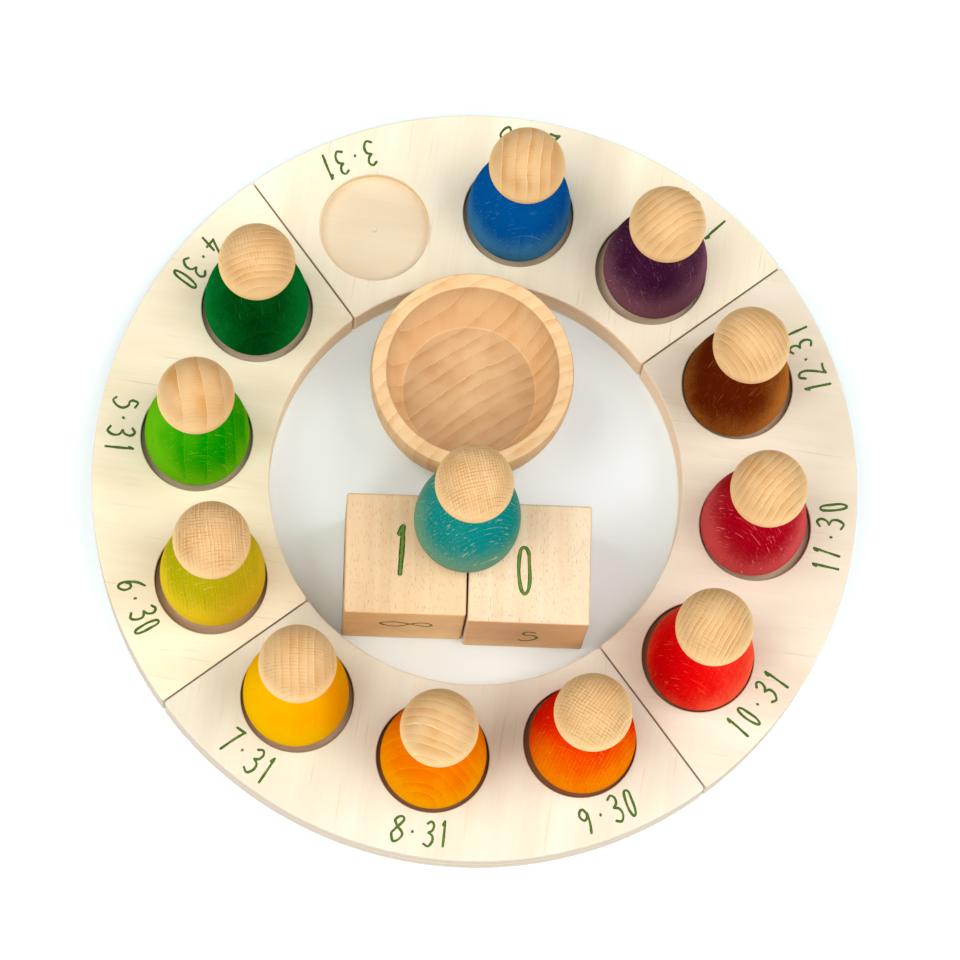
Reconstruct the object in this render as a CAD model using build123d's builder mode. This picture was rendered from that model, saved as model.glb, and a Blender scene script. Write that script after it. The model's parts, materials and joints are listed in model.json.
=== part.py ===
from build123d import *
import os
from math import cos, radians, sin, sqrt

# Perpetual desk calendar: a flat wooden ring in four loose quarters, twelve turned figures that stand
# in round recesses, two date cubes and a bowl inside the ring. Millimetres, +Z up. The origin is the
# centre of the ring, on the surface that everything stands on. +X is to the reader's right.

# ---- the year ----
quarter_names = [
    "ring_quarter_jan_mar",
    "ring_quarter_apr_jun",
    "ring_quarter_jul_sep",
    "ring_quarter_oct_dec",
]
doll_names = [
    "january_doll",
    "february_doll",
    "march_doll",
    "april_doll",
    "may_doll",
    "june_doll",
    "july_doll",
    "august_doll",
    "september_doll",
    "october_doll",
    "november_doll",
    "december_doll",
]
shown_month = "march_doll"           # this figure has left its recess and stands on the date cubes

# ---- figures ----
doll_height = 69.0
head_d = 24.5
neck_d = 14.6
belly_d = 34.0                       # widest part of the bell-shaped body
belly_height = 8.0                   # height of the widest part above the foot
foot_d = 31.0
foot_edge_r = 0.8

# ---- recesses ----
seat_clearance = 1.15                # all round the widest part of a figure
seat_depth = 3.5
seat_rim_chamfer = 0.3
point_mark_d = 2.0                   # dimple that the drill's centre point leaves in a recess
point_mark_depth = 0.6

# ---- ring ----
ring_inner_d = 135.0
ring_thickness = 15.0
inner_web = 6.55                     # wood between the ring's hole and a recess
label_band = 14.65                   # wood outside a recess, which carries the month's number
seam_angle = 36.3                    # from +X to the seam before the first quarter
seam_gap = 0.4
seam_corner_r = 1.2
ring_edge_r = 0.5

# ---- date cubes ----
cube_side = 39.0
cube_edge_r = 0.8
cube_gap = 0.65
cube_pair_x = -4.0                   # where the pair's joint stands, left of the ring's centre
cube_ring_clearance = 2.2            # from the left cube's front corner to the ring's hole
cube_turn = -1.25                    # the left cube isn't quite square to the reader
cube_misalignment = -0.35            # further turn of the right cube
cube_slip = -1.9                     # the right cube stands this far forward of the left one

# ---- where the shown figure stands on the cubes ----
doll_left_of_joint = 0.7
doll_behind_middle = 9.8

# ---- how loosely the other figures stand ----
# They are put down by hand, each a little off the middle of its recess: so far to the right and so
# far to the back, as shares of seat_clearance.
doll_shifts = {
    "january_doll": (0.9, 0.3),
    "february_doll": (-0.1, 0.1),
    "april_doll": (-0.2, 0.4),
    "may_doll": (0.2, 0.1),
    "june_doll": (0.5, 0.8),
    "july_doll": (-0.4, 0.2),
    "august_doll": (0.0, -0.4),
    "september_doll": (0.4, -0.3),
    "october_doll": (0.2, -1.0),
    "november_doll": (-1.0, -0.1),
    "december_doll": (-0.8, -0.7),
}

# ---- bowl ----
bowl_d = 66.4
bowl_height = 33.0
bowl_belly_height = 27.0             # height of the widest part
bowl_shoulder_d = 63.2
bowl_shoulder_height = 12.0          # the flank turns in to the foot from here
bowl_foot_d = 48.0
bowl_rim_d = 65.2
bowl_mouth_d = 56.0
bowl_floor_d = 44.0
bowl_floor_height = 5.0
bowl_rim_r = 0.5
bowl_floor_corner_r = 0.8
bowl_ring_clearance = 1.6
bowl_angle = 93.3                    # from +X to the bowl's centre

# ---- worked out from the sizes above ----
seat_r = belly_d / 2 + seat_clearance
seat_floor_z = ring_thickness - seat_depth
ring_inner_r = ring_inner_d / 2
seat_circle_r = ring_inner_r + inner_web + seat_r
ring_outer_r = seat_circle_r + seat_r + label_band
quarter_sweep = 360 / len(quarter_names)
seat_pitch = 360 / len(doll_names)
seats_per_quarter = len(doll_names) // len(quarter_names)
first_seat_angle = seam_angle + seat_pitch / 2


def upright(x, y, z):
    """Vertical sketching plane through a point: local X is +X, local Y is +Z."""
    return Plane(origin=(x, y, z), x_dir=(1, 0, 0), z_dir=(0, -1, 0))


def make_quarter(start_angle):
    """One quarter of the ring, from its seam at start_angle, with its recesses."""
    flat = Plane.XY.rotated((0, 0, start_angle))
    with BuildPart() as quarter:
        with BuildSketch(flat) as outline:
            Circle(ring_outer_r)
            Circle(ring_inner_r, mode=Mode.SUBTRACT)
            with Locations((seam_gap / 2, seam_gap / 2)):
                Rectangle(ring_outer_r, ring_outer_r, align=Align.MIN, mode=Mode.INTERSECT)
            fillet(outline.vertices(), radius=seam_corner_r)
        extrude(amount=ring_thickness)
        faces_by_height = quarter.faces().filter_by(Axis.Z).sort_by(Axis.Z)
        flat_edges = faces_by_height[0].edges() + faces_by_height[-1].edges()
        fillet(flat_edges, radius=ring_edge_r)
        with Locations(flat.offset(ring_thickness)):
            with PolarLocations(
                seat_circle_r, seats_per_quarter, start_angle=seat_pitch / 2, angular_range=quarter_sweep
            ):
                Hole(seat_r, depth=seat_depth)
        top_face = quarter.faces().filter_by(Axis.Z).sort_by(Axis.Z)[-1]
        chamfer(top_face.inner_wires().edges(), length=seat_rim_chamfer)
        with Locations(flat.offset(seat_floor_z)):
            with PolarLocations(
                seat_circle_r, seats_per_quarter, start_angle=seat_pitch / 2, angular_range=quarter_sweep
            ):
                Cone(
                    bottom_radius=0,
                    top_radius=point_mark_d / 2,
                    height=point_mark_depth,
                    align=(Align.CENTER, Align.CENTER, Align.MAX),
                    mode=Mode.SUBTRACT,
                )
    return quarter.part


def make_doll(x, y, z):
    """A turned figure, in one piece, with its foot centred on (x, y, z)."""
    head_r = head_d / 2
    head_z = doll_height - head_r
    neck_z = head_z - sqrt(head_r**2 - (neck_d / 2) ** 2)
    foot = (foot_d / 2, 0)
    belly = (belly_d / 2, belly_height)
    neck = (neck_d / 2, neck_z)
    crown = (0, doll_height)
    with BuildPart() as doll:
        with BuildSketch(upright(x, y, z)):
            with BuildLine():
                Line((0, 0), foot)
                TangentArc(belly, foot, tangent=(0, -1))
                TangentArc(belly, neck, tangent=(0, 1))
                ThreePointArc(neck, (head_r, head_z), crown)
                Line(crown, (0, 0))
            make_face()
        revolve(axis=Axis((x, y, 0), (0, 0, 1)))
        foot_circle = doll.edges().filter_by(GeomType.CIRCLE).sort_by(Axis.Z)[0]
        fillet(foot_circle, radius=foot_edge_r)
    return doll.part


def make_cube(x, y, turn):
    """A date cube that stands on the table, centred on (x, y)."""
    with BuildPart() as cube:
        with Locations(Plane((x, y, 0)).rotated((0, 0, turn))):
            Box(cube_side, cube_side, cube_side, align=(Align.CENTER, Align.CENTER, Align.MIN))
        fillet(cube.edges(), radius=cube_edge_r)
    return cube.part


def make_bowl(x, y):
    """The turned bowl, centred on (x, y)."""
    foot = (bowl_foot_d / 2, 0)
    shoulder = (bowl_shoulder_d / 2, bowl_shoulder_height)
    belly = (bowl_d / 2, bowl_belly_height)
    rim = (bowl_rim_d / 2, bowl_height)
    mouth = (bowl_mouth_d / 2, bowl_height)
    floor = (bowl_floor_d / 2, bowl_floor_height)
    with BuildPart() as turned:
        with BuildSketch(upright(x, y, 0)) as profile:
            with BuildLine():
                Line((0, 0), foot)
                flank = TangentArc(belly, shoulder, tangent=(0, -1))
                TangentArc(shoulder, foot, tangent=flank % 1)
                TangentArc(belly, rim, tangent=(0, 1))
                Line(rim, mouth)
                TangentArc(mouth, floor, tangent=(0, -1))
                Line(floor, (0, bowl_floor_height))
                Line((0, bowl_floor_height), (0, 0))
            make_face()
            rim_corners = profile.vertices().group_by(Axis.Y)[-1]
            fillet(rim_corners, radius=bowl_rim_r)
            floor_corner = profile.vertices().sort_by_distance(floor)[0]
            fillet(floor_corner, radius=bowl_floor_corner_r)
        revolve(axis=Axis((x, y, 0), (0, 0, 1)))
    return turned.part


def save(piece, name):
    """Label a finished piece and write it under its own name."""
    piece.label = name
    export_step(piece, f"parts/{name}.step")


def on_circle(radius, angle):
    return radius * cos(radians(angle)), radius * sin(radians(angle))


os.makedirs("parts", exist_ok=True)

# ring quarters, anticlockwise from January
for index, name in enumerate(quarter_names):
    save(make_quarter(seam_angle + index * quarter_sweep), name)

# date cubes: the left one's front corner is just inside the ring, the right one stands beside it
half = cube_side / 2
corner_x = cube_pair_x - cube_gap / 2 - cube_side
corner_y = -sqrt((ring_inner_r - cube_ring_clearance) ** 2 - corner_x**2)
left_x = corner_x + half * (cos(radians(cube_turn)) - sin(radians(cube_turn)))
left_y = corner_y + half * (cos(radians(cube_turn)) + sin(radians(cube_turn)))
step_x = cube_side + cube_gap
right_x = left_x + step_x * cos(radians(cube_turn)) - cube_slip * sin(radians(cube_turn))
right_y = left_y + step_x * sin(radians(cube_turn)) + cube_slip * cos(radians(cube_turn))
save(make_cube(left_x, left_y, cube_turn), "left_date_cube")
save(make_cube(right_x, right_y, cube_turn + cube_misalignment), "right_date_cube")

# figures: each in its own recess, the shown month's on top of the cubes
for index, name in enumerate(doll_names):
    if name == shown_month:
        joint_x = (left_x + right_x) / 2
        save(make_doll(joint_x - doll_left_of_joint, left_y + doll_behind_middle, cube_side), name)
    else:
        seat_x, seat_y = on_circle(seat_circle_r, first_seat_angle + index * seat_pitch)
        to_right, to_back = [share * seat_clearance for share in doll_shifts[name]]
        save(make_doll(seat_x + to_right, seat_y + to_back, seat_floor_z), name)

# bowl, at the back of the ring's hole
bowl_x, bowl_y = on_circle(ring_inner_r - bowl_ring_clearance - bowl_d / 2, bowl_angle)
save(make_bowl(bowl_x, bowl_y), "bowl")
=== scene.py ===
import json
import random
from collections import namedtuple
from math import atan2, ceil, cos, degrees, e, hypot, pi, radians, sin

import bmesh
import bpy
from mathutils import Matrix, Vector


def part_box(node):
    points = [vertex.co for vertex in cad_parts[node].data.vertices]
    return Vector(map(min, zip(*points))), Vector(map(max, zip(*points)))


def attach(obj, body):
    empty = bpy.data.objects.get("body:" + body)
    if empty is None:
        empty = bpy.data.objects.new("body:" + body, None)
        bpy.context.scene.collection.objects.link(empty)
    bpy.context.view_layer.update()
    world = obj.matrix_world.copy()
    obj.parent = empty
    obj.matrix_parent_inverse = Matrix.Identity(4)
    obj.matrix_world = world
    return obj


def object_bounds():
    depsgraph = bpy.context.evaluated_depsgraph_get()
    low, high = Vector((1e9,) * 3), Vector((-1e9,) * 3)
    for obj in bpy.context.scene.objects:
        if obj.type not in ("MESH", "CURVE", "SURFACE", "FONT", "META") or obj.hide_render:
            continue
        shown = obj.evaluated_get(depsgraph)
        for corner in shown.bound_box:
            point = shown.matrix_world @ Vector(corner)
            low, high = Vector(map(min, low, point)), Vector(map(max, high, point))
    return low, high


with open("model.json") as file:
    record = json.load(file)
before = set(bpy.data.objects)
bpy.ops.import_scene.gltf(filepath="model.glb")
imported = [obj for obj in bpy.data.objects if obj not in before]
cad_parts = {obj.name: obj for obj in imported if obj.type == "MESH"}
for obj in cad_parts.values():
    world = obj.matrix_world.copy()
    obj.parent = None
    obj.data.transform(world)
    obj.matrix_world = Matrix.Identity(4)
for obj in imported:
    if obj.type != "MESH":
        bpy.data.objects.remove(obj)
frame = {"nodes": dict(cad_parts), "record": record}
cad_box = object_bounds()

# A perpetual desk calendar: a ring of four plywood quarters, twelve turned figures dyed for the
# months, two numbered date cubes and a small bowl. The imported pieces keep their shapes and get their
# finish here. The painted numbers are thin raised strokes of their own. Blender lengths are metres;
# inside the materials and the lettering they are millimetres.

MM = 0.001

# ---- the year ----
months = [
    "january",
    "february",
    "march",
    "april",
    "may",
    "june",
    "july",
    "august",
    "september",
    "october",
    "november",
    "december",
]
month_days = [31, 28, 31, 30, 31, 30, 31, 31, 30, 31, 30, 31]
quarters = [
    "ring_quarter_jan_mar",
    "ring_quarter_apr_jun",
    "ring_quarter_jul_sep",
    "ring_quarter_oct_dec",
]
seat_pitch = 360 / len(months)
months_per_quarter = len(months) // len(quarters)

# ---- places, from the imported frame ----
mounts = {mount["name"]: mount for mount in frame["record"]["mounts"]}
march_x, march_y, _ = mounts["march_recess"]["pos_m"]
march_angle = degrees(atan2(march_y, march_x))
ring_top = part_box(quarters[0])[1].z
ring_outer_r = cad_box[1].x


def seat_angle(month_index):
    """Direction of a month's recess from the ring's centre, in degrees from +X."""
    return march_angle + (month_index - months.index("march")) * seat_pitch


def middle_of(node):
    low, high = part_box(node)
    return (low + high) / 2


def foot_of(low, high):
    """The middle of a turned piece's foot, from the corners of its box."""
    return (low.x + high.x) / 2, (low.y + high.y) / 2, low.z


def srgb(red, green, blue):
    """A colour given as screen values from 0 to 255."""
    channels = []
    for value in (red / 255, green / 255, blue / 255):
        low = value <= 0.04045
        channels.append(value / 12.92 if low else ((value + 0.055) / 1.055) ** 2.4)
    return (*channels, 1.0)


# ---- material nodes ----
class Value:
    """A number inside a material. Arithmetic on it adds Math nodes."""

    def __init__(self, net, socket):
        self.net = net
        self.socket = socket

    def __add__(self, other):
        return self.net.math("ADD", self, other)

    def __radd__(self, other):
        return self.net.math("ADD", other, self)

    def __sub__(self, other):
        return self.net.math("SUBTRACT", self, other)

    def __rsub__(self, other):
        return self.net.math("SUBTRACT", other, self)

    def __mul__(self, other):
        return self.net.math("MULTIPLY", self, other)

    def __rmul__(self, other):
        return self.net.math("MULTIPLY", other, self)

    def __truediv__(self, other):
        return self.net.math("DIVIDE", self, other)

    def __pow__(self, other):
        return self.net.math("POWER", self, other)


class Net:
    """The nodes of one material. x, y and z are millimetres from a centre that moves with the piece."""

    # where the Mix node keeps its sockets for colours
    mix_first = 6
    mix_second = 7
    mix_result = 2

    def __init__(self, name, centre=(0, 0, 0)):
        self.material = bpy.data.materials.new(name)
        self.material.use_nodes = True
        self.nodes = self.material.node_tree.nodes
        self.links = self.material.node_tree.links
        self.nodes.clear()
        place = self.nodes.new("ShaderNodeTexCoord")
        metres = self.split(place.outputs["Object"])
        self.x, self.y, self.z = [(axis - start) / MM for axis, start in zip(metres, centre)]
        self.normal_x, self.normal_y, self.normal_z = self.split(place.outputs["Normal"])

    def connect(self, value, socket):
        if isinstance(value, Value):
            self.links.new(value.socket, socket)
        else:
            socket.default_value = value

    def math(self, operation, *values):
        node = self.nodes.new("ShaderNodeMath")
        node.operation = operation
        for value, socket in zip(values, node.inputs):
            self.connect(value, socket)
        return Value(self, node.outputs[0])

    def split(self, socket):
        node = self.nodes.new("ShaderNodeSeparateXYZ")
        self.links.new(socket, node.inputs[0])
        return [Value(self, output) for output in node.outputs]

    def noise(self, x, y, z, detail=1.0):
        """Smooth noise from 0 to 1. Its features are about one unit long, so x / 15 makes them 15 mm."""
        place = self.nodes.new("ShaderNodeCombineXYZ")
        for value, socket in zip((x, y, z), place.inputs):
            self.connect(value, socket)
        node = self.nodes.new("ShaderNodeTexNoise")
        node.inputs["Scale"].default_value = 1.0
        node.inputs["Detail"].default_value = detail
        self.links.new(place.outputs[0], node.inputs["Vector"])
        return Value(self, node.outputs[0])

    def rise(self, value, low, high):
        """0 below low, 1 above high, smooth between them."""
        node = self.nodes.new("ShaderNodeMapRange")
        node.interpolation_type = "SMOOTHSTEP"
        self.connect(value, node.inputs["Value"])
        node.inputs["From Min"].default_value = low
        node.inputs["From Max"].default_value = high
        return Value(self, node.outputs[0])

    def mix(self, share, first, second, blend="MIX"):
        """Colour between first and second."""
        node = self.nodes.new("ShaderNodeMix")
        node.data_type = "RGBA"
        node.blend_type = blend
        self.connect(share, node.inputs["Factor"])
        self.connect(first, node.inputs[self.mix_first])
        self.connect(second, node.inputs[self.mix_second])
        return Value(self, node.outputs[self.mix_result])

    def finish(self, colour, roughness, height, specular):
        """Surface of the material; height is in millimetres."""
        bump = self.nodes.new("ShaderNodeBump")
        bump.inputs["Distance"].default_value = MM
        self.connect(height, bump.inputs["Height"])
        shader = self.nodes.new("ShaderNodeBsdfPrincipled")
        shader.inputs["Specular IOR Level"].default_value = specular
        self.connect(colour, shader.inputs["Base Color"])
        self.connect(roughness, shader.inputs["Roughness"])
        self.links.new(bump.outputs[0], shader.inputs["Normal"])
        output = self.nodes.new("ShaderNodeOutputMaterial")
        self.links.new(shader.outputs[0], output.inputs["Surface"])
        return self.material


# ---- solid beech ----
# Where in the tree a piece was cut: the direction and distance of the pith from the piece's middle,
# the width of a year's ring there, how strong the rings' lines and the fine rays across them are, how
# far out from the middle a line stands, and how fast the rings widen outwards.
Cut = namedtuple("Cut", "towards pith ring lines rays seed start widening", defaults=(0.0, 0.0))

# The parts of the figure: how late in its year a point is, the pale line (above 0) that starts a year
# and the broken dark one (below 0) that ends it, the rays, the turner's scratches, and finer marks.
Grain = namedtuple("Grain", "year line ray scratch speck pore patch")

year_bend = 2.2                      # how far the year rings wander over the whole piece
year_ripple = 0.3                    # and over a few millimetres
year_unevenness = 1.1                # how much the years differ in width, in years
year_line = 0.35                     # width of the line at the start or end of a year
widest_year_line = 0.4               # as a share of the year
ray_pitch = 1.0                      # from one ray to the next
ray_sway = 2.0                       # how far a ray wanders sideways, in pitches


def beech_growth(net, across_a, across_b, along, cut):
    """Where a point was in the tree: millimetres outwards and round the pith, and which year."""
    bend = net.noise(across_a / 15 + cut.seed, across_b / 15, along / 70) - 0.5
    ripple = net.noise(across_a / 2.2, across_b / 2.2 + cut.seed, along / 14) - 0.5
    from_a = across_a - cut.pith * cos(radians(cut.towards))
    from_b = across_b - cut.pith * sin(radians(cut.towards))
    depth = (from_a * from_a + from_b * from_b) ** 0.5 - cut.pith
    depth = depth + bend * year_bend + ripple * year_ripple
    round_pith = net.math("ARCTAN2", from_b, from_a) * cut.pith
    years = (depth - cut.start) / cut.ring
    if cut.widening:
        years = net.math("LOGARITHM", years * cut.widening + 1.0, e) / cut.widening
    years = years + (net.noise(years * 0.9, cut.seed, 0.0) - 0.5) * year_unevenness
    return depth, round_pith, years


def beech_rays(net, across_a, across_b, along, depth, round_pith, seed):
    """Rows of short dashes that run outwards, crowded in some places."""
    crowd = net.noise(across_a / 6, across_b / 6 + 9.0, along / 25 + seed)
    crowd = 0.25 + 0.75 * net.rise(crowd, 0.4, 0.6)
    sway = net.noise(round_pith / 9, depth / 14, along / 8 + seed) * ray_sway
    from_ray = net.math("ABSOLUTE", net.math("FRACT", round_pith / ray_pitch + sway) - 0.5)
    dashes = net.rise(net.noise(round_pith / 0.9 + seed, depth / 2.2, along / 3), 0.35, 0.5)
    return (1.0 - net.rise(from_ray, 0.03, 0.2)) * dashes * crowd


def beech_grain(net, across_a, across_b, along, cut):
    """The parts of the figure of solid beech, each about 0 to 1, with its fibres running along."""
    seed = cut.seed
    depth, round_pith, years = beech_growth(net, across_a, across_b, along, cut)

    strength = 0.45 + 0.55 * net.rise(net.noise(across_a / 7 + 3.0, across_b / 7, seed), 0.36, 0.6)
    phase = net.math("FRACT", years)
    year_tone = net.noise(net.math("FLOOR", years) * 3.7, seed + 5.0, 0.0) - 0.5
    year = net.rise(phase, 0.25, 1.0) * strength + year_tone * 0.5
    line_share = min(widest_year_line, year_line / cut.ring)
    pale_line = (1.0 - net.rise(phase, 0.0, line_share)) * strength
    broken = net.rise(net.noise(round_pith / 1.1, years * 1.3, along / 4 + seed), 0.4, 0.6)
    dark_line = broken * net.rise(phase, 1.0 - line_share, 1.0)

    ray = beech_rays(net, across_a, across_b, along, depth, round_pith, seed)
    short = net.noise(round_pith / 0.19, depth / 6 + seed, along / 1.8, detail=0.0)
    long = net.noise(round_pith / 0.3, depth / 18 + seed, along / 6, detail=0.0)
    scratch = net.rise(short, 0.73, 0.8) + net.rise(long, 0.76, 0.8) * 1.2
    speck = net.noise(round_pith / 0.18, depth / 0.3, along / 0.5 + seed, detail=0.0)
    pore = net.noise(across_a / 0.2, across_b / 0.2, along / 2.0 + seed) - 0.5
    patch = net.noise(across_a / 9, across_b / 9 + seed, along / 30, detail=2.0) - 0.5
    return Grain(year, pale_line - dark_line, ray, scratch, net.rise(speck, 0.68, 0.8), pore, patch)


def beech_colour(net, grain, cut, pale, middle, dark, tick):
    """Bare beech: pale lines and dark shades of the years, crossed by fine brown ticks."""
    shade = grain.year * (0.75 * cut.lines) + grain.patch * 1.3 + grain.pore * 0.35
    colour = net.mix(net.rise(shade, -0.35, 1.15), middle, dark)
    colour = net.mix(net.rise(grain.line, 0.1, 1.0) * (0.8 * cut.lines), colour, pale)
    colour = net.mix(net.rise(0.0 - grain.line, 0.1, 1.0) * (0.5 * cut.lines), colour, tick)
    return net.mix(grain.ray * (0.55 * cut.rays), colour, tick)


# ---- figures ----
figure_cuts = {
    "january": Cut(-57, 110, 2.5, 0.8, 0.2, 1),
    "february": Cut(-4, 150, 4.0, 0.9, 0.3, 2, start=0.3),
    "march": Cut(15, 160, 0.9, 0.6, 1.0, 3),
    "april": Cut(-80, 100, 2.1, 0.7, 0.5, 4),
    "may": Cut(188, 160, 8.05, 0.9, 0.2, 5, start=-5.0, widening=-0.255),
    "june": Cut(5, 120, 1.1, 0.7, 1.0, 6),
    "july": Cut(0, 150, 2.7, 0.7, 0.7, 7),
    "august": Cut(-106, 70, 2.7, 0.7, 0.1, 8),
    "september": Cut(-33, 120, 1.2, 0.7, 1.0, 9),
    "october": Cut(-30, 150, 1.7, 0.9, 0.5, 10),
    "november": Cut(-40, 140, 2.3, 0.9, 0.3, 11),
    "december": Cut(222, 75, 1.9, 0.7, 0.3, 12),
}

# The bare heads: pale lines, middle tone, dark tone, ticks (the bowl's too) and the tint of the sides,
# which are paler long grain and partly a painted highlight.
beech_pale = srgb(230, 204, 158)
beech_middle = srgb(202, 167, 121)
beech_dark = srgb(186, 134, 76)
beech_tick = srgb(150, 90, 36)
long_grain_and_highlight_tint = srgb(252, 212, 154)

# The dye's colour where it is deep, where it is worn thin (also the colour of its painted sheen), and in
# scratches and rays.
Dye = namedtuple("Dye", "deep worn fleck")
dyes = {
    "january": Dye(srgb(56, 16, 46), srgb(116, 72, 88), srgb(180, 145, 150)),
    "february": Dye(srgb(0, 76, 144), srgb(52, 110, 154), srgb(130, 175, 200)),
    "march": Dye(srgb(0, 127, 122), srgb(106, 152, 126), srgb(200, 195, 160)),
    "april": Dye(srgb(0, 54, 8), srgb(4, 116, 44), srgb(80, 150, 90)),
    "may": Dye(srgb(0, 138, 0), srgb(92, 168, 12), srgb(175, 195, 45)),
    "june": Dye(srgb(158, 148, 0), srgb(214, 182, 30), srgb(220, 205, 120)),
    "july": Dye(srgb(222, 134, 0), srgb(226, 170, 0), srgb(235, 195, 80)),
    "august": Dye(srgb(214, 98, 0), srgb(226, 146, 0), srgb(235, 175, 70)),
    "september": Dye(srgb(208, 20, 0), srgb(226, 124, 0), srgb(235, 150, 60)),
    "october": Dye(srgb(212, 0, 6), srgb(238, 90, 60), srgb(240, 115, 85)),
    "november": Dye(srgb(154, 0, 22), srgb(192, 70, 70), srgb(225, 140, 140)),
    "december": Dye(srgb(84, 24, 2), srgb(164, 98, 36), srgb(180, 125, 75)),
}

# How worn the dye is all over, how much more so towards the foot (worn dye, and partly a painted sheen),
# the painted sheen on both flanks (a painted shade where it is below 0), how much more so on one side, and
# in which direction that side is. How strong the light marks are, and how clearly the years show.
Wear = namedtuple("Wear", "level foot flanks side towards marks stripes")
dye_wear = {
    "january": Wear(0.1, 1.2, 0.3, 0.2, 0, 0.45, 0.1),
    "february": Wear(-0.45, 1.5, 0.5, 0.4, -62, 0.25, 0.2),
    "march": Wear(0.2, 1.2, -0.1, 0.4, 100, 0.75, 0.1),
    "april": Wear(0.25, 0.3, 0.4, 0.1, 57, 0.3, 0.1),
    "may": Wear(0.6, 1.2, 0.0, 0.7, 122, 0.35, 0.6),
    "june": Wear(0.2, 1.2, 0.2, 0.3, -28, 0.6, 0.3),
    "july": Wear(0.8, 0.6, -0.3, 0.4, 121, 0.05, 0.1),
    "august": Wear(0.1, 0.6, 0.3, 0.2, -81, 0.1, 0.4),
    "september": Wear(-0.3, 0.2, 0.6, 1.0, -88, 0.4, 0.2),
    "october": Wear(0.35, 0.7, -0.2, 0.5, 49, 0.4, 0.1),
    "november": Wear(0.0, 1.4, 0.6, 0.2, 26, 0.7, 0.1),
    "december": Wear(0.15, 0.6, 0.3, 0.4, 19, 0.4, 0.1),
}


crown_depth = 10.0                   # top of the head, where it is narrow too


def neck_height(node):
    """Height above the foot where a figure is narrowest, between its body and its head."""
    low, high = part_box(node)
    middle = (low + high) / 2
    below_crown = high.z - crown_depth * MM
    upper = [v.co for v in frame["nodes"][node].data.vertices if middle.z < v.co.z < below_crown]
    neck = min(upper, key=lambda point: hypot(point.x - middle.x, point.y - middle.y))
    return (neck.z - low.z) / MM


def dye_colour(net, grain, month, neck, reach):
    """The dye of a body that is 2 * reach wide at its widest, with a painted sheen on its flanks and
    towards its foot.
    Scratches and rays take little of it.
    """
    dye = dyes[month]
    wear = dye_wear[month]
    # painted sheen: the dye paler on both flanks, and a painted shade there where the flank number is below
    # 0
    flank = (net.x / reach) * (net.x / reach)
    side = (net.x * cos(radians(wear.towards)) + net.y * sin(radians(wear.towards))) / reach
    # paler towards the foot: worn dye, and partly a painted sheen
    near_foot = 1.0 - net.rise(net.z, 0.0, neck * 0.8)
    worn = near_foot * wear.foot + flank * wear.flanks + side * wear.side + wear.level
    worn = worn + grain.patch * 0.6 + grain.pore * 0.6
    worn = worn + (grain.line * 0.6 - grain.year * 0.4) * wear.stripes
    colour = net.mix(net.rise(worn, 0.0, 1.0), dye.deep, dye.worn)
    light_marks = grain.scratch * 0.5 + grain.ray * 0.05 + grain.speck * 0.12
    return net.mix(light_marks * wear.marks, colour, dye.fleck)


def figure_material(month):
    """Turned beech with a dyed body and a bare head."""
    node = month + "_doll"
    low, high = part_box(node)
    cut = figure_cuts[month]
    net = Net(month + "_dyed_beech_wood", foot_of(low, high))
    grain = beech_grain(net, net.x, net.y, net.z, cut)
    bare = beech_colour(net, grain, cut, beech_pale, beech_middle, beech_dark, beech_tick)
    # paler sides of the heads: long grain, and partly a painted highlight
    on_side = 1.0 - net.rise(net.normal_z, 0.05, 0.7)
    bare = net.mix(on_side * 0.65, bare, long_grain_and_highlight_tint)
    neck = neck_height(node)
    dyed = dye_colour(net, grain, month, neck, (high.x - low.x) / 2 / MM)
    colour = net.mix(net.rise(net.z, neck - 0.1, neck + 0.15), dyed, bare)
    roughness = 0.6 + grain.pore * 0.3
    height = grain.pore * 0.02 - grain.ray * 0.006
    return net.finish(colour, roughness, height, specular=0.0)


# ---- cubes and bowl ----
cube_cuts = {
    "left_date_cube": Cut(70, 90, 4.5, 0.35, 0.3, 21),
    "right_date_cube": Cut(110, 70, 4.0, 0.35, 0.3, 22),
}

# Two tones of each cube's long grain, then two of its end grain.
cube_tones = {
    "left_date_cube": (srgb(216, 187, 148), srgb(208, 175, 136), srgb(240, 206, 146), srgb(222, 186, 129)),
    "right_date_cube": (srgb(220, 200, 170), srgb(213, 186, 152), srgb(226, 187, 132), srgb(211, 170, 116)),
}
cube_streak = srgb(192, 145, 99)
cube_dash = srgb(160, 106, 78)
cube_year_line = srgb(150, 104, 62)

bowl_cut = Cut(-57, 125, 4.7, 0.65, 0.15, 31, widening=0.03)
bowl_pale = srgb(234, 210, 166)
bowl_middle = srgb(224, 190, 144)
bowl_dark = srgb(201, 151, 97)
bowl_level_shade = srgb(220, 219, 219)
bowl_floor_z = 5.0
bowl_rim_z = 33.0


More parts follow.
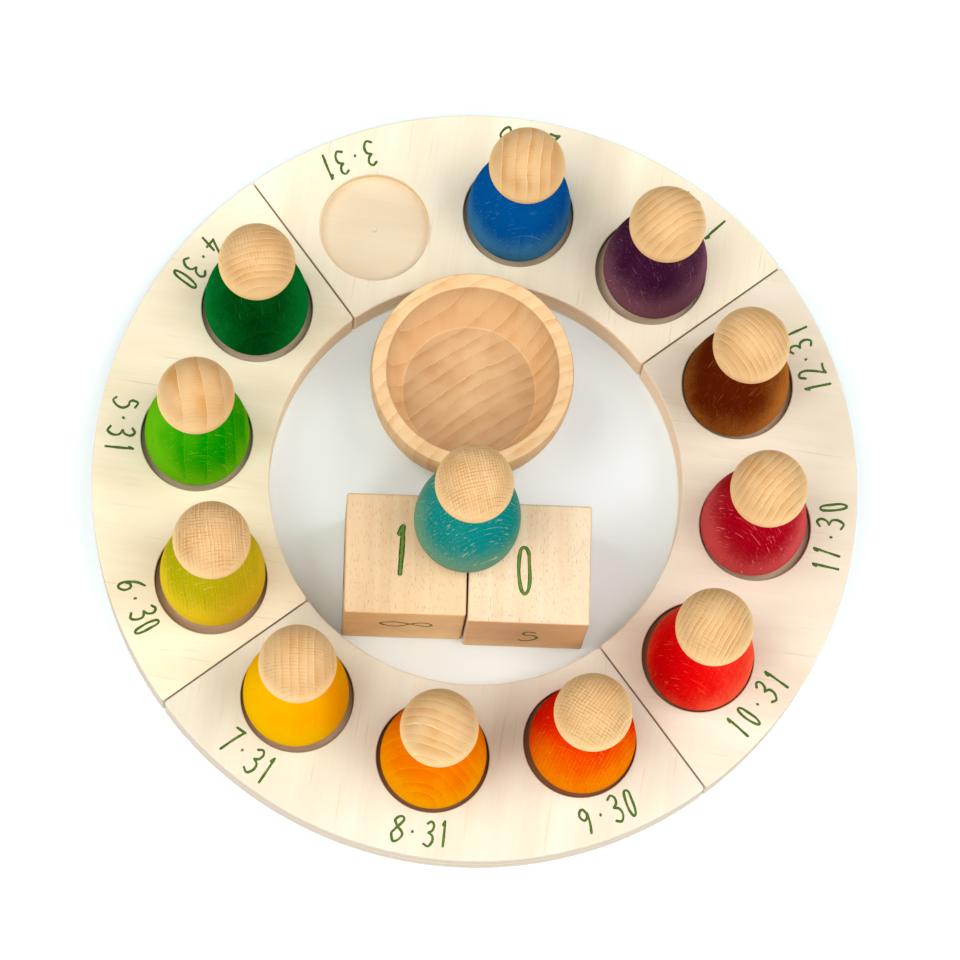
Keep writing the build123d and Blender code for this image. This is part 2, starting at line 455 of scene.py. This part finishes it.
def cube_material(node):
    """Sanded beech whose fibres run from the front face to the back."""
    cut = cube_cuts[node]
    net = Net(node + "_wood", middle_of(node))
    grain = beech_grain(net, net.x, net.z, net.y, cut)
    pale_side, deep_side, pale_end, deep_end = cube_tones[node]

    bands = net.noise(net.x / 3.5 + cut.seed, net.z / 8, net.y / 60)
    long_grain = net.mix(net.rise(bands, 0.2, 0.8), pale_side, deep_side)
    streaks = net.noise(net.x / 0.5, net.z / 0.8 + cut.seed, net.y / 14, detail=2.0) - 0.5
    shade = streaks * 0.7 + grain.patch * 1.0 + grain.pore * 0.3
    long_grain = net.mix(net.rise(shade, 0.0, 1.2), long_grain, cube_streak)
    dashes = net.noise(net.x / 0.3, net.z / 1.2, net.y / 1.5 + cut.seed, detail=0.0)
    long_grain = net.mix(net.rise(dashes, 0.68, 0.76) * 0.5, long_grain, cube_dash)

    sawn = grain.line * 0.4 + grain.patch * 1.2 + streaks * 0.6 + grain.pore * 0.6
    end_grain = net.mix(net.rise(sawn, -0.5, 0.6), pale_end, deep_end)
    end_grain = net.mix(net.rise(0.0 - grain.line, 0.1, 1.0) * 0.3, end_grain, cube_year_line)

    facing_fibres = net.rise(net.math("ABSOLUTE", net.normal_y), 0.6, 0.9)
    colour = net.mix(facing_fibres, long_grain, end_grain)
    return net.finish(colour, 0.55 + grain.pore * 0.3, grain.pore * 0.02, specular=0.15)


def bowl_material():
    """Turned beech with painted shade where it lies level: on the floor, and less so on the rim."""
    low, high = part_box("bowl")
    net = Net("bowl_beech_wood", foot_of(low, high))
    grain = beech_grain(net, net.x, net.y, net.z, bowl_cut)
    wall = beech_colour(net, grain, bowl_cut, bowl_pale, bowl_middle, bowl_dark, beech_tick)
    level = net.rise(net.normal_z, 0.8, 0.95)
    on_floor = level * (1.0 - net.rise(net.z, bowl_floor_z + 0.5, bowl_floor_z + 2.0))
    on_rim = level * net.rise(net.z, bowl_rim_z - 3.0, bowl_rim_z - 2.0)
    # painted shade on the bowl's floor and rim
    colour = net.mix(on_floor * 0.9 + on_rim * 0.3, wall, bowl_level_shade, "MULTIPLY")
    return net.finish(colour, 0.55 + grain.pore * 0.3, grain.pore * 0.02, specular=0.15)


# ---- ring plywood ----
ply = 3.0                            # one of the five plies
glue_line = 0.12                     # how far into a ply its glue lines show, as a share of the ply
plywood_seed = 40.0
plywood_seed_step = 7
seat_r = mounts["march_recess"]["dims"]["r_mm"]
seat_depth = 3.5
seat_circle_r = hypot(march_x, march_y) / MM

# The two tones of each quarter's face veneers, from January's quarter on.
face_tones = [
    (srgb(231, 221, 198), srgb(216, 201, 173)),
    (srgb(231, 219, 194), srgb(214, 198, 168)),
    (srgb(214, 209, 192), srgb(199, 190, 169)),
    (srgb(219, 210, 191), srgb(203, 189, 165)),
]
inner_ply_tones = (srgb(222, 206, 179), srgb(203, 180, 146))
ply_edge_tones = (srgb(219, 206, 188), srgb(200, 180, 157))
mineral_streak = srgb(190, 160, 120)
crossed_edge = srgb(178, 150, 124)
# painted light: a paler, warmer colour for the ring's inner walls
inner_wall_light = srgb(254, 226, 190)
glue_brown = srgb(126, 90, 66)
# painted shade in the recesses with figures, and painted light on the empty recess's walls
floor_shade_brown = srgb(150, 98, 60)
wall_shade_black = srgb(58, 32, 20)
painted_light_wall = srgb(250, 222, 168)

# Painted shade round the edge of each recess's floor, beside a figure's foot, and how strong it is under
# each figure. The recess without a figure gets none; its walls get painted light.
empty_recess = "march"
floor_shades = {"june": 0.6, "july": 0.55, "august": 0.9, "september": 0.95, "october": 0.9}
light_floor_shade = 0.35


def veneer_colour(net, index, seed, layer, crossed):
    """The flat faces of a quarter's plies, and their fine fibres."""
    heading = radians(seat_angle(index * months_per_quarter + 1))
    along = net.x * cos(heading) + net.y * sin(heading)
    across = net.y * cos(heading) - net.x * sin(heading)
    lengthwise = along * (1.0 - crossed) + across * crossed
    sideways = across * (1.0 - crossed) + along * crossed
    clouds = net.noise(lengthwise / 70, sideways / 16 + seed, layer, detail=2.0) - 0.5
    streaks = net.noise(lengthwise / 30, sideways / 1.3 + seed, layer * 3.0, detail=2.0) - 0.5
    fibres = net.noise(lengthwise / 4, sideways / 0.16 + seed, layer) - 0.5
    tone = clouds * 1.3 + streaks * 0.3 + fibres * 0.12
    face = net.mix(net.rise(tone, -0.5, 0.6), *face_tones[index])
    mineral = net.noise(lengthwise / 24, sideways / 0.9 + seed * 2, layer + 5.0)
    face = net.mix(net.rise(mineral, 0.66, 0.78) * 0.4, face, mineral_streak)
    inner = net.mix(net.rise(tone, -0.5, 0.6), *inner_ply_tones)
    return net.mix(crossed, face, inner), fibres


def ply_edge_colour(net, seed, crossed):
    """The plies' edges on the walls, with the glue lines between them, and painted light on the ring's
    inner walls.
    """
    tone = net.noise(net.x / 2.2, net.y / 2.2, net.z * 3.0 + seed, detail=2.0) - 0.5
    edge = net.mix(net.rise(tone, -0.3, 0.3), *ply_edge_tones)
    edge = net.mix(crossed * 0.6, edge, net.mix(0.5, edge, crossed_edge))
    from_centre = (net.x * net.x + net.y * net.y) ** 0.5
    nearest_recess = seat_circle_r - seat_r
    inside = 1.0 - net.rise(from_centre, nearest_recess - 5.0, nearest_recess - 3.0)
    # painted light on the ring's inner walls
    edge = net.mix(inside * 0.75, edge, inner_wall_light)
    into_ply = net.math("ABSOLUTE", net.math("FRACT", net.z / ply) - 0.5)
    glue = net.rise(into_ply, 0.5 - glue_line, 0.5)
    return net.mix(glue * 0.45, edge, glue_brown)


def recess_tones(net, index):
    """Where a quarter's recesses get painted shade on their walls and floor edges, and the empty one
    painted light on its walls.
    """
    top = ring_top / MM
    bottom = top - seat_depth
    in_recess = net.rise(net.z, bottom - 0.3, bottom - 0.1) - net.rise(net.z, top - 0.4, top - 0.1)
    wall_shade = 0.0
    brown = 0.0
    painted_light = None
    for month in range(index * months_per_quarter, (index + 1) * months_per_quarter):
        angle = radians(seat_angle(month))
        from_x = net.x - seat_circle_r * cos(angle)
        from_y = net.y - seat_circle_r * sin(angle)
        from_middle = (from_x * from_x + from_y * from_y) ** 0.5
        outside = net.rise(from_middle, seat_r + 0.1, seat_r + 0.3)
        wall = net.rise(from_middle, seat_r - 0.4, seat_r - 0.1) - outside
        if months[month] == empty_recess:
            painted_light = wall * in_recess
        else:
            # painted shade on the walls and round the floor's edge, where a figure stands
            floor_edge = net.rise(from_middle, seat_r - 4.0, seat_r - 2.0) - outside
            wall_shade = wall_shade + wall * 0.8
            brown = brown + floor_edge * floor_shades.get(months[month], light_floor_shade)
    return wall_shade * in_recess, brown * in_recess, painted_light


def plywood_material(node, index):
    """Pale plywood: long grain outside, cross grain under it, and the plies' edges on the walls."""
    net = Net(node + "_plywood")
    seed = plywood_seed + plywood_seed_step * index
    layer = net.math("FLOOR", net.z / ply)
    crossed = net.math("MODULO", layer, 2.0)
    flat, fibres = veneer_colour(net, index, seed, layer, crossed)
    on_wall = 1.0 - net.rise(net.math("ABSOLUTE", net.normal_z), 0.35, 0.8)
    colour = net.mix(on_wall, flat, ply_edge_colour(net, seed, crossed))
    wall_shade, brown, painted_light = recess_tones(net, index)
    # painted shade in the recesses, then painted light on the empty recess's walls
    colour = net.mix(brown, colour, floor_shade_brown)
    colour = net.mix(wall_shade, colour, wall_shade_black)
    if painted_light:
        colour = net.mix(painted_light * 0.6, colour, painted_light_wall)
    return net.finish(colour, 0.6 + fibres * 0.2, fibres * 0.02, specular=0.15)


# ---- painted numbers ----
# How far a point lies from the middle of its stroke, 0 to 1, kept with each point of the mesh.
across_name = "across_stroke"

# The greens of each paint: along a stroke's edges, where it dried darker; along its middle, lighter as a
# painted highlight on the domed stroke; and where it is worn.
label_greens = (srgb(38, 66, 14), srgb(62, 102, 22), srgb(88, 116, 46))
cube_greens = (srgb(38, 62, 10), srgb(84, 122, 44), srgb(120, 116, 44))


def ink_material(name, edge, body, worn):
    """Green paint drawn with a pen: darker where it dried along its edges, lighter along its middle as a
    painted highlight, and worn thin in places.
    """
    net = Net(name)
    across = net.nodes.new("ShaderNodeAttribute")
    across.attribute_name = across_name
    from_middle = Value(net, across.outputs["Fac"])
    patches = net.noise(net.x / 1.2, net.y / 1.2, net.z / 1.2, detail=2.0)
    wear = net.noise(net.x / 3.5 + 20.0, net.y / 3.5, net.z / 3.5, detail=3.0)
    # darker edges where the paint dried, and a painted highlight along the middle
    colour = net.mix(net.rise(from_middle + (patches - 0.5) * 0.9, 0.25, 0.8), body, edge)
    colour = net.mix(net.rise(wear, 0.52, 0.68) * 0.7, colour, worn)
    return net.finish(colour, 0.45 + patches * 0.2, patches * 0.02, specular=0.15)


# Each digit is a list of strokes through points of a cell one unit high and centred on zero.
# Strokes that meet at a point make a corner there.
digits = {
    "0": [
        [
            (0.01, 0.5), (-0.08, 0.44), (-0.125, 0.12), (-0.1, -0.2), (-0.05, -0.43), (0.02, -0.5),
            (0.09, -0.42), (0.12, -0.2), (0.1, 0.15), (0.085, 0.39), (0.01, 0.5),
        ],
    ],
    "1": [
        [(-0.045, 0.36), (-0.01, 0.46), (0.02, 0.5)],
        [(0.02, 0.5), (0.01, 0.1), (-0.015, -0.5)],
    ],
    "2": [
        [(-0.14, 0.3), (-0.04, 0.48), (0.12, 0.4), (0.12, 0.14), (-0.03, -0.22), (-0.16, -0.47)],
        [(-0.16, -0.47), (0.02, -0.44), (0.18, -0.47)],
    ],
    "3": [
        [(-0.14, 0.4), (0.01, 0.5), (0.13, 0.37), (0.09, 0.16), (-0.04, 0.05)],
        [(-0.04, 0.05), (0.13, -0.05), (0.16, -0.28), (0.03, -0.49), (-0.15, -0.41)],
    ],
    "4": [
        [(0.05, 0.5), (-0.06, 0.14), (-0.18, -0.16)],
        [(-0.18, -0.16), (0.2, -0.13)],
        [(0.11, 0.16), (0.07, -0.5)],
    ],
    "5": [
        [(0.11, 0.4), (-0.03, 0.49), (-0.12, 0.43), (-0.15, 0.26)],
        [
            (-0.15, 0.26), (-0.08, 0.14), (0.05, 0.15), (0.15, 0.03),
            (0.18, -0.12), (0.12, -0.3), (0.0, -0.45),
        ],
        [(0.0, -0.45), (-0.1, -0.49), (-0.2, -0.4)],
    ],
    "6": [
        [
            (0.12, 0.5), (-0.05, 0.26), (-0.16, -0.12), (-0.12, -0.42), (0.03, -0.49),
            (0.15, -0.3), (0.1, -0.07), (-0.04, -0.03), (-0.15, -0.2),
        ],
    ],
    "7": [
        [(-0.17, 0.46), (0.16, 0.5)],
        [(0.16, 0.5), (0.04, 0.06), (-0.05, -0.5)],
    ],
    "8": [
        [
            (0.0, 0.08), (-0.1, 0.2), (-0.14, 0.31), (-0.06, 0.44), (0.1, 0.5), (0.18, 0.41),
            (0.13, 0.28), (0.0, 0.08), (-0.09, -0.06), (-0.17, -0.19), (-0.12, -0.37),
            (-0.04, -0.5), (0.12, -0.42), (0.24, -0.2), (0.16, -0.05), (0.0, 0.08),
        ],
    ],
    "9": [
        [
            (0.15, 0.24), (0.05, 0.47), (-0.1, 0.44), (-0.16, 0.22), (-0.05, 0.05),
            (0.1, 0.12), (0.15, 0.3), (0.13, -0.1), (0.05, -0.5),
        ],
    ],
    ".": [[(0.0, 0.015), (0.0, -0.015)]],
}
hand_shake = 0.008                   # how far a point of a digit strays, as a share of its height

# A stroke across: how far to the left each point lies, as a share of half the stroke's width, and how
# high, as a share of its thickness. The edges reach down into the surface.
stroke_section = [
    (-1.0, -0.4),
    (-0.93, 0.45),
    (-0.5, 0.9),
    (0.0, 1.0),
    (0.5, 0.9),
    (0.93, 0.45),
    (1.0, -0.4),
]
stroke_step = 0.45                   # along the stroke, as a share of its width
round_end_angles = (pi / 8, pi / 4, 3 * pi / 8, 0.47 * pi)
round_end_fullness = 1.2             # the stroke gets lower only where it is narrower by more than this

# The pen presses harder and softer: how much so in slow waves, how fast these go in radians for each
# step, and how much more at random.
pressure_wave = 0.1
pressure_pace = 0.35
pressure_shake = 0.07


def is_closed(points):
    return (points[0] - points[-1]).length < 1e-6


def smooth_line(points, step):
    """Points about one step apart along a smooth curve through the given ones."""
    if len(points) == 2:
        count = max(2, ceil((points[1] - points[0]).length / step))
        return [points[0].lerp(points[1], i / count) for i in range(count + 1)]
    before = points[-2] if is_closed(points) else points[0] * 2 - points[1]
    after = points[1] if is_closed(points) else points[-1] * 2 - points[-2]
    chain = [before, *points, after]
    line = []
    for a, b, c, d in zip(chain, chain[1:], chain[2:], chain[3:]):
        count = max(2, ceil((c - b).length / step))
        for i in range(count):
            t = i / count
            bow = (2 * a - 5 * b + 4 * c - d) * t**2 + (3 * b - a - 3 * c + d) * t**3
            line.append((2 * b + (c - a) * t + bow) / 2)
    return line + [points[-1]]


def pen_stations(line, half, closed, rng):
    """At each point of a line: the point, the way ahead, and how far the paint reaches sideways."""
    last = len(line) - 1
    wave_start = rng.uniform(0.0, 2 * pi)
    stations = []
    for i, point in enumerate(line):
        if closed and i in (0, last):
            ahead = line[1] - line[-2]
        else:
            ahead = line[min(i + 1, last)] - line[max(i - 1, 0)]
        ahead.normalize()
        wave = pressure_wave * sin(i * pressure_pace + wave_start)
        pressure = 1.0 + wave + rng.uniform(-pressure_shake, pressure_shake)
        stations.append((point, ahead, half * pressure))
    return stations


def with_round_ends(stations, half):
    """The stations of an open stroke, with more of them round its two ends."""
    ends = []
    for (point, ahead, _), sign in ((stations[0], -1), (stations[-1], 1)):
        arc = [(sin(angle), cos(angle)) for angle in round_end_angles]
        ends.append([(point + ahead * sign * half * out, ahead, half * side) for out, side in arc])
    return ends[0][::-1] + stations + ends[1]


def add_stroke(mesh, line, width, thickness, place, rng):
    """A domed pen stroke along a flat line, with round ends, laid on a surface by place."""
    half = width / 2
    across_stroke = mesh.verts.layers.float[across_name]
    closed = is_closed(line)
    stations = pen_stations(line, half, closed, rng)
    stations = stations[:-1] if closed else with_round_ends(stations, half)
    rows = []
    for point, ahead, reach in stations:
        left = Vector((-ahead.y, ahead.x))
        fullness = min(1.0, reach / half * round_end_fullness)
        row = []
        for side, rise in stroke_section:
            height = thickness * (rise * fullness if rise > 0 else rise)
            vert = mesh.verts.new(place(point + left * reach * side, height))
            vert[across_stroke] = max(abs(side), 1.0 - fullness)
            row.append(vert)
        rows.append(row)
    if closed:
        following_rows = rows[1:] + rows[:1]
    else:
        following_rows = rows[1:]
        mesh.faces.new(rows[0])
        mesh.faces.new(rows[-1][::-1])
    for row, following in zip(rows, following_rows):
        for k in range(len(stroke_section)):
            j = (k + 1) % len(stroke_section)
            mesh.faces.new((row[j], row[k], following[k], following[j]))


def new_drawing():
    """An empty mesh whose points remember how far from a stroke's middle they are."""
    mesh = bmesh.new()
    mesh.verts.layers.float.new(across_name)
    return mesh


def write_digit(mesh, digit, height, width, thickness, place, rng, lean=0.0):
    """One hand-drawn digit, centred on the origin of place and standing along its second axis."""
    reach = height - width
    for stroke in digits[digit]:
        points = []
        for x, y in stroke:
            shake = Vector((rng.uniform(-hand_shake, hand_shake), rng.uniform(-hand_shake, hand_shake)))
            points.append((Vector((x + lean * y, y)) + shake) * reach)
        if stroke[0] == stroke[-1]:
            points[-1] = points[0].copy()
        line = smooth_line(points, width * stroke_step)
        add_stroke(mesh, line, width, thickness, place, rng)


def finish_piece(mesh, name, material, body):
    """The drawn strokes as one piece that rides on a body."""
    bmesh.ops.recalc_face_normals(mesh, faces=mesh.faces)
    data = bpy.data.meshes.new(name)
    mesh.to_mesh(data)
    mesh.free()
    for polygon in data.polygons:
        polygon.use_smooth = True
    data.materials.append(material)
    piece = bpy.data.objects.new(name, data)
    bpy.context.scene.collection.objects.link(piece)
    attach(piece, body)


# on the ring: the month's number, a dot, and how many days it has
label_height = 9.6
label_edge_distance = 8.0            # from the ring's outer edge to the digits' middle
label_radius = ring_outer_r / MM - label_edge_distance
label_pitch = 5.0                    # from one digit to the next
label_pen = 0.85
label_thickness = 0.06
label_seed = 100

# how much the hand that wrote the labels strays
pitch_slip = 0.3
radius_slip = 0.4
turn_slip = 0.05
lean_slip = 0.1
least_size = 0.92
most_size = 1.04


def on_ring(turn, centre):
    """Lays a flat drawing on the ring's top face, turned and with its origin at centre."""

    def place(point, height):
        flat = centre + turn @ point
        return Vector((flat.x * MM, flat.y * MM, ring_top + height * MM))

    return place


def write_label(index, material):
    """A month's numbers, written round the ring with their tops towards its middle."""
    rng = random.Random(label_seed + index)
    text = f"{index + 1}.{month_days[index]}"
    mesh = new_drawing()
    for position, digit in enumerate(text):
        offset = (position - (len(text) - 1) / 2) * label_pitch + rng.uniform(-pitch_slip, pitch_slip)
        angle = radians(seat_angle(index)) + offset / label_radius
        turn = Matrix.Rotation(angle + pi / 2 + rng.uniform(-turn_slip, turn_slip), 2)
        radius = label_radius + rng.uniform(-radius_slip, radius_slip)
        place = on_ring(turn, Vector((cos(angle), sin(angle))) * radius)
        lean = rng.uniform(-lean_slip, lean_slip)
        height = label_height * rng.uniform(least_size, most_size)
        write_digit(mesh, digit, height, label_pen, label_thickness, place, rng, lean)
    quarter = quarters[index // months_per_quarter]
    finish_piece(mesh, f"{months[index]}_numbers", material, quarter)


# On the cubes: one digit on each face. facing is the way the face looks and top the way the digit's
# top points. right and up place the digit from the middle of the face, in the digit's own directions.
Face = namedtuple("Face", "facing top digit right up height pen")
above = Vector((0, 0, 1))
behind = Vector((0, 1, 0))
rightward = Vector((1, 0, 0))
cube_faces = {
    "left_date_cube": [
        Face(above, behind, "1", -1.6, 1.2, 17.0, 1.75),
        Face(-behind, rightward, "8", -3.2, 0.8, 17.7, 0.85),
        Face(rightward, above, "0", 0.6, -0.5, 16.8, 1.1),
        Face(behind, above, "2", -0.8, 0.6, 17.2, 1.1),
        Face(-rightward, behind, "6", 1.0, -0.6, 17.0, 1.1),
        Face(-above, behind, "7", 0.4, 0.8, 16.6, 1.1),
    ],
    "right_date_cube": [
        Face(above, behind, "0", -1.8, -2.4, 16.3, 1.2),
        Face(-behind, above, "5", 1.3, -1.6, 15.4, 0.95),
        Face(rightward, above, "3", -0.6, 0.4, 17.0, 1.1),
        Face(behind, above, "4", 0.8, -0.5, 17.2, 1.1),
        Face(-rightward, above, "2", 0.5, 0.7, 16.8, 1.1),
        Face(-above, behind, "1", -0.6, -0.4, 17.0, 1.1),
    ],
}
cube_paint_thickness = 0.1
worn_underneath = 0.3                # what is left of it on the face that a cube stands on
cube_seed = 200


def true_direction(node, rough):
    """Direction of the node's largest flat face that looks roughly one way."""
    sharpness = 9
    polygons = frame["nodes"][node].data.polygons
    best = max(polygons, key=lambda face: face.area * max(0.0, face.normal.dot(rough)) ** sharpness)
    return best.normal.copy()


def on_face(start, outwards, upwards, rightwards):
    """Lays a flat drawing on a cube's face, with its origin at start."""

    def place(point, height):
        return start + (outwards * height + rightwards * point.x + upwards * point.y) * MM

    return place


def write_cube(node, material, seed):
    """The six digits of a date cube. The one underneath is worn almost flat."""
    low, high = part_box(node)
    middle = (low + high) / 2
    half_side = (high.z - low.z) / 2
    rng = random.Random(seed)
    mesh = new_drawing()
    for face in cube_faces[node]:
        outwards = true_direction(node, face.facing)
        upwards = true_direction(node, face.top)
        rightwards = upwards.cross(outwards)
        start = middle + outwards * half_side + (rightwards * face.right + upwards * face.up) * MM
        place = on_face(start, outwards, upwards, rightwards)
        thickness = cube_paint_thickness * (worn_underneath if face.facing.z < 0 else 1.0)
        write_digit(mesh, face.digit, face.height, face.pen, thickness, place, rng)
    finish_piece(mesh, node.replace("_date_cube", "_cube_digits"), material, node)


# ---- floor, light and camera ----
table_reach = 4.0
table_drop = 0.1 * MM                # keeps the table's surface clear of the undersides
table_tones = (srgb(229, 239, 242), srgb(232, 241, 243))


def make_floor():
    """A wide white table top."""
    mesh = bmesh.new()
    bmesh.ops.create_grid(mesh, x_segments=8, y_segments=8, size=table_reach)
    data = bpy.data.meshes.new("floor")
    mesh.to_mesh(data)
    mesh.free()
    net = Net("white_table")
    grain = net.noise(net.x / 30, net.y / 30, 0.0, detail=3.0)
    colour = net.mix(grain, *table_tones)
    data.materials.append(net.finish(colour, 0.7, grain * 0.01, specular=0.2))
    floor = bpy.data.objects.new("floor", data)
    floor.location.z = -table_drop
    bpy.context.scene.collection.objects.link(floor)


# Each lamp: where it shines from (degrees from +X, degrees above the table), how wide it looks in
# degrees, and how much light it puts on the open table.
Lamp = namedtuple("Lamp", "azimuth elevation width share")
room_share = 0.15
lamps = {
    "ceiling_softbox": Lamp(-90, 75, 24, 0.17),
    "right_window": Lamp(0, 60, 35, 0.43),
    "left_window": Lamp(180, 60, 35, 0.36),
    "front_right_card": Lamp(-45, 40, 35, 0.22),
    "front_left_card": Lamp(-135, 40, 35, 0.28),
}


def make_light():
    """A white room and five wide soft lamps, which together leave the table almost white."""
    world = bpy.data.worlds.new("white_room")
    bpy.context.scene.world = world
    world.use_nodes = True
    sky = world.node_tree.nodes["Background"]
    sky.inputs["Color"].default_value = (1.0, 1.0, 1.0, 1.0)
    sky.inputs["Strength"].default_value = room_share
    for name, lamp in lamps.items():
        light = bpy.data.lights.new(name, "SUN")
        light.angle = radians(lamp.width)
        light.energy = lamp.share * pi / sin(radians(lamp.elevation))
        stand = bpy.data.objects.new(name, light)
        bpy.context.scene.collection.objects.link(stand)
        flat = cos(radians(lamp.elevation))
        azimuth = radians(lamp.azimuth)
        towards = Vector((flat * cos(azimuth), flat * sin(azimuth), sin(radians(lamp.elevation))))
        stand.location = towards
        stand.rotation_euler = towards.to_track_quat("Z", "Y").to_euler()


# The camera: where it stands, what it looks at, and which way the right side of its picture points.
camera_eye = Vector((-0.0708, -0.3581, 1.5175))
camera_target = Vector((0.0020, 0.0040, 0.0))
camera_rightwards = Vector((0.99885, 0.0, 0.04791))
camera_lens = 177.8
camera_sensor = 36.0
camera_clip_start = 0.01


def make_camera():
    """The reader's view, from above and slightly in front, through a long lens."""
    camera = bpy.data.cameras.new("camera")
    camera.sensor_width = camera_sensor
    camera.lens = camera_lens
    camera.clip_start = camera_clip_start
    rightwards = camera_rightwards.normalized()
    forward = (camera_target - camera_eye).normalized()
    upwards = rightwards.cross(forward)
    stand = bpy.data.objects.new("camera", camera)
    stand.matrix_world = Matrix((rightwards, upwards, -forward)).transposed().to_4x4()
    stand.location = camera_eye
    bpy.context.scene.collection.objects.link(stand)
    bpy.context.scene.camera = stand


# ---- everything, put together ----
def dress(node, material):
    """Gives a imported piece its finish."""
    data = frame["nodes"][node].data
    data.materials.clear()
    data.materials.append(material)


for index, quarter in enumerate(quarters):
    dress(quarter, plywood_material(quarter, index))
for month in months:
    dress(month + "_doll", figure_material(month))
for cube in cube_cuts:
    dress(cube, cube_material(cube))
dress("bowl", bowl_material())

label_ink = ink_material("green_ink", *label_greens)
for index in range(len(months)):
    write_label(index, label_ink)
cube_paint = ink_material("green_paint", *cube_greens)
for order, cube in enumerate(cube_cuts):
    write_cube(cube, cube_paint, cube_seed + order)

make_floor()
make_light()
make_camera()
bpy.context.scene.view_settings.view_transform = "Standard"
